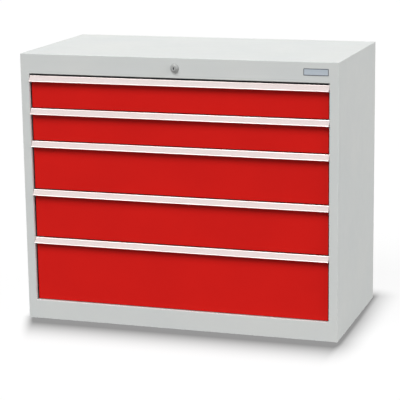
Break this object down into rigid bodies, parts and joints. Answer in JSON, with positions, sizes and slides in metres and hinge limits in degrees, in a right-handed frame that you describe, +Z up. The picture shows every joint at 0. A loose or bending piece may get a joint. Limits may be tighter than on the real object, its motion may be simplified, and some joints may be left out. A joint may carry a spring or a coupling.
{
  "type": "drawer cabinet",
  "caption": "Free-standing sheet-steel workshop drawer cabinet with full-width handle strips, ball slides and a central lock that hooks every drawer.",
  "frame": {"origin": "centre of the part's box on the floor; the carcass reaches from -246.1 mm to 253.9 mm in Y, with the lock standing out in front", "axes": "+X to the right as seen from the front, +Y from front to back, +Z up"},
  "size_m": [0.98, 0.5102, 0.8235],
  "materials": {
    "carcass_paint": "light grey powder coat, fine texture",
    "front_paint": "red powder coat, satin",
    "tray_paint": "grey powder coat, satin",
    "handle_aluminium": "anodised extrusion, pale",
    "label_plastic": "blank white label strip",
    "zinc_steel": "zinc plated",
    "bearing_steel": "pressed cage and polished balls",
    "lock_nickel": "satin nickel plate",
    "guide_plastic": "dark moulded plastic",
    "badge_aluminium": "blank plate, blue-grey field with a darker border",
    "rivet_aluminium": "plain"
  },
  "bodies": {
    "carcass": {"left_side_panel": "carcass_paint", "right_side_panel": "carcass_paint", "back_panel": "carcass_paint", "top_panel": "carcass_paint", "base_panel": "carcass_paint", "top_fascia": "carcass_paint", "front_plinth": "carcass_paint", "left_pillars": "zinc_steel", "right_pillars": "zinc_steel", "left_cabinet_runners": "zinc_steel", "right_cabinet_runners": "zinc_steel", "lock_cylinder": "lock_nickel", "lock_nut": "zinc_steel", "shaft_bracket": "zinc_steel", "bar_guides": "guide_plastic", "badge_plate": "badge_aluminium", "back_panel_rivets": "rivet_aluminium"},
    "lock": {"lock_plug": "lock_nickel", "lock_shaft": "zinc_steel"},
    "locking_bar": {"locking_bar": "zinc_steel"},
    "drawer_1": {"drawer_1_tray": "tray_paint", "drawer_1_front": "front_paint", "drawer_1_handle": "handle_aluminium", "drawer_1_label_strip": "label_plastic", "drawer_1_runners": "zinc_steel"},
    "drawer_1_middle_runners": {"drawer_1_middle_runners": "zinc_steel"},
    "drawer_1_outer_ball_cages": {"drawer_1_outer_ball_cages": "bearing_steel"},
    "drawer_1_inner_ball_cages": {"drawer_1_inner_ball_cages": "bearing_steel"},
    "drawer_2": {"drawer_2_tray": "tray_paint", "drawer_2_front": "front_paint", "drawer_2_handle": "handle_aluminium", "drawer_2_label_strip": "label_plastic", "drawer_2_runners": "zinc_steel"},
    "drawer_2_middle_runners": {"drawer_2_middle_runners": "zinc_steel"},
    "drawer_2_outer_ball_cages": {"drawer_2_outer_ball_cages": "bearing_steel"},
    "drawer_2_inner_ball_cages": {"drawer_2_inner_ball_cages": "bearing_steel"},
    "drawer_3": {"drawer_3_tray": "tray_paint", "drawer_3_front": "front_paint", "drawer_3_handle": "handle_aluminium", "drawer_3_label_strip": "label_plastic", "drawer_3_runners": "zinc_steel"},
    "drawer_3_middle_runners": {"drawer_3_middle_runners": "zinc_steel"},
    "drawer_3_outer_ball_cages": {"drawer_3_outer_ball_cages": "bearing_steel"},
    "drawer_3_inner_ball_cages": {"drawer_3_inner_ball_cages": "bearing_steel"},
    "drawer_4": {"drawer_4_tray": "tray_paint", "drawer_4_front": "front_paint", "drawer_4_handle": "handle_aluminium", "drawer_4_label_strip": "label_plastic", "drawer_4_runners": "zinc_steel"},
    "drawer_4_middle_runners": {"drawer_4_middle_runners": "zinc_steel"},
    "drawer_4_outer_ball_cages": {"drawer_4_outer_ball_cages": "bearing_steel"},
    "drawer_4_inner_ball_cages": {"drawer_4_inner_ball_cages": "bearing_steel"},
    "drawer_5": {"drawer_5_tray": "tray_paint", "drawer_5_front": "front_paint", "drawer_5_handle": "handle_aluminium", "drawer_5_label_strip": "label_plastic", "drawer_5_runners": "zinc_steel"},
    "drawer_5_middle_runners": {"drawer_5_middle_runners": "zinc_steel"},
    "drawer_5_outer_ball_cages": {"drawer_5_outer_ball_cages": "bearing_steel"},
    "drawer_5_inner_ball_cages": {"drawer_5_inner_ball_cages": "bearing_steel"}
  },
  "joints": [
    {"name": "lock_turn", "type": "hinge", "parent": "carcass", "child": "lock", "pos_m": [0, -0.2461, 0.7935], "axis": [0, 1, 0], "range_deg": [0, 90]},
    {"name": "locking_bar_lift", "type": "slide", "parent": "carcass", "child": "locking_bar", "axis": [0, 0, 1], "range_m": [0, 0.01202]},
    {"name": "drawer_1_slide", "type": "slide", "parent": "carcass", "child": "drawer_1", "axis": [0, -1, 0], "range_m": [0, 0.43]},
    {"name": "drawer_1_middle_runners_slide", "type": "slide", "parent": "carcass", "child": "drawer_1_middle_runners", "axis": [0, -1, 0], "range_m": [0, 0.215]},
    {"name": "drawer_1_outer_ball_cages_slide", "type": "slide", "parent": "carcass", "child": "drawer_1_outer_ball_cages", "axis": [0, -1, 0], "range_m": [0, 0.1075]},
    {"name": "drawer_1_inner_ball_cages_slide", "type": "slide", "parent": "carcass", "child": "drawer_1_inner_ball_cages", "axis": [0, -1, 0], "range_m": [0, 0.3225]},
    {"name": "drawer_2_slide", "type": "slide", "parent": "carcass", "child": "drawer_2", "axis": [0, -1, 0], "range_m": [0, 0.43]},
    {"name": "drawer_2_middle_runners_slide", "type": "slide", "parent": "carcass", "child": "drawer_2_middle_runners", "axis": [0, -1, 0], "range_m": [0, 0.215]},
    {"name": "drawer_2_outer_ball_cages_slide", "type": "slide", "parent": "carcass", "child": "drawer_2_outer_ball_cages", "axis": [0, -1, 0], "range_m": [0, 0.1075]},
    {"name": "drawer_2_inner_ball_cages_slide", "type": "slide", "parent": "carcass", "child": "drawer_2_inner_ball_cages", "axis": [0, -1, 0], "range_m": [0, 0.3225]},
    {"name": "drawer_3_slide", "type": "slide", "parent": "carcass", "child": "drawer_3", "axis": [0, -1, 0], "range_m": [0, 0.43]},
    {"name": "drawer_3_middle_runners_slide", "type": "slide", "parent": "carcass", "child": "drawer_3_middle_runners", "axis": [0, -1, 0], "range_m": [0, 0.215]},
    {"name": "drawer_3_outer_ball_cages_slide", "type": "slide", "parent": "carcass", "child": "drawer_3_outer_ball_cages", "axis": [0, -1, 0], "range_m": [0, 0.1075]},
    {"name": "drawer_3_inner_ball_cages_slide", "type": "slide", "parent": "carcass", "child": "drawer_3_inner_ball_cages", "axis": [0, -1, 0], "range_m": [0, 0.3225]},
    {"name": "drawer_4_slide", "type": "slide", "parent": "carcass", "child": "drawer_4", "axis": [0, -1, 0], "range_m": [0, 0.43]},
    {"name": "drawer_4_middle_runners_slide", "type": "slide", "parent": "carcass", "child": "drawer_4_middle_runners", "axis": [0, -1, 0], "range_m": [0, 0.215]},
    {"name": "drawer_4_outer_ball_cages_slide", "type": "slide", "parent": "carcass", "child": "drawer_4_outer_ball_cages", "axis": [0, -1, 0], "range_m": [0, 0.1075]},
    {"name": "drawer_4_inner_ball_cages_slide", "type": "slide", "parent": "carcass", "child": "drawer_4_inner_ball_cages", "axis": [0, -1, 0], "range_m": [0, 0.3225]},
    {"name": "drawer_5_slide", "type": "slide", "parent": "carcass", "child": "drawer_5", "axis": [0, -1, 0], "range_m": [0, 0.43]},
    {"name": "drawer_5_middle_runners_slide", "type": "slide", "parent": "carcass", "child": "drawer_5_middle_runners", "axis": [0, -1, 0], "range_m": [0, 0.215]},
    {"name": "drawer_5_outer_ball_cages_slide", "type": "slide", "parent": "carcass", "child": "drawer_5_outer_ball_cages", "axis": [0, -1, 0], "range_m": [0, 0.1075]},
    {"name": "drawer_5_inner_ball_cages_slide", "type": "slide", "parent": "carcass", "child": "drawer_5_inner_ball_cages", "axis": [0, -1, 0], "range_m": [0, 0.3225]}
  ],
  "couplings": [
    {"joint": "lock_turn", "follows": "locking_bar_lift", "rad_per_m": 130.68},
    {"joint": "drawer_1_middle_runners_slide", "follows": "drawer_1_slide", "ratio": 0.5},
    {"joint": "drawer_1_outer_ball_cages_slide", "follows": "drawer_1_slide", "ratio": 0.25},
    {"joint": "drawer_1_inner_ball_cages_slide", "follows": "drawer_1_slide", "ratio": 0.75},
    {"joint": "drawer_2_middle_runners_slide", "follows": "drawer_2_slide", "ratio": 0.5},
    {"joint": "drawer_2_outer_ball_cages_slide", "follows": "drawer_2_slide", "ratio": 0.25},
    {"joint": "drawer_2_inner_ball_cages_slide", "follows": "drawer_2_slide", "ratio": 0.75},
    {"joint": "drawer_3_middle_runners_slide", "follows": "drawer_3_slide", "ratio": 0.5},
    {"joint": "drawer_3_outer_ball_cages_slide", "follows": "drawer_3_slide", "ratio": 0.25},
    {"joint": "drawer_3_inner_ball_cages_slide", "follows": "drawer_3_slide", "ratio": 0.75},
    {"joint": "drawer_4_middle_runners_slide", "follows": "drawer_4_slide", "ratio": 0.5},
    {"joint": "drawer_4_outer_ball_cages_slide", "follows": "drawer_4_slide", "ratio": 0.25},
    {"joint": "drawer_4_inner_ball_cages_slide", "follows": "drawer_4_slide", "ratio": 0.75},
    {"joint": "drawer_5_middle_runners_slide", "follows": "drawer_5_slide", "ratio": 0.5},
    {"joint": "drawer_5_outer_ball_cages_slide", "follows": "drawer_5_slide", "ratio": 0.25},
    {"joint": "drawer_5_inner_ball_cages_slide", "follows": "drawer_5_slide", "ratio": 0.75}
  ]
}
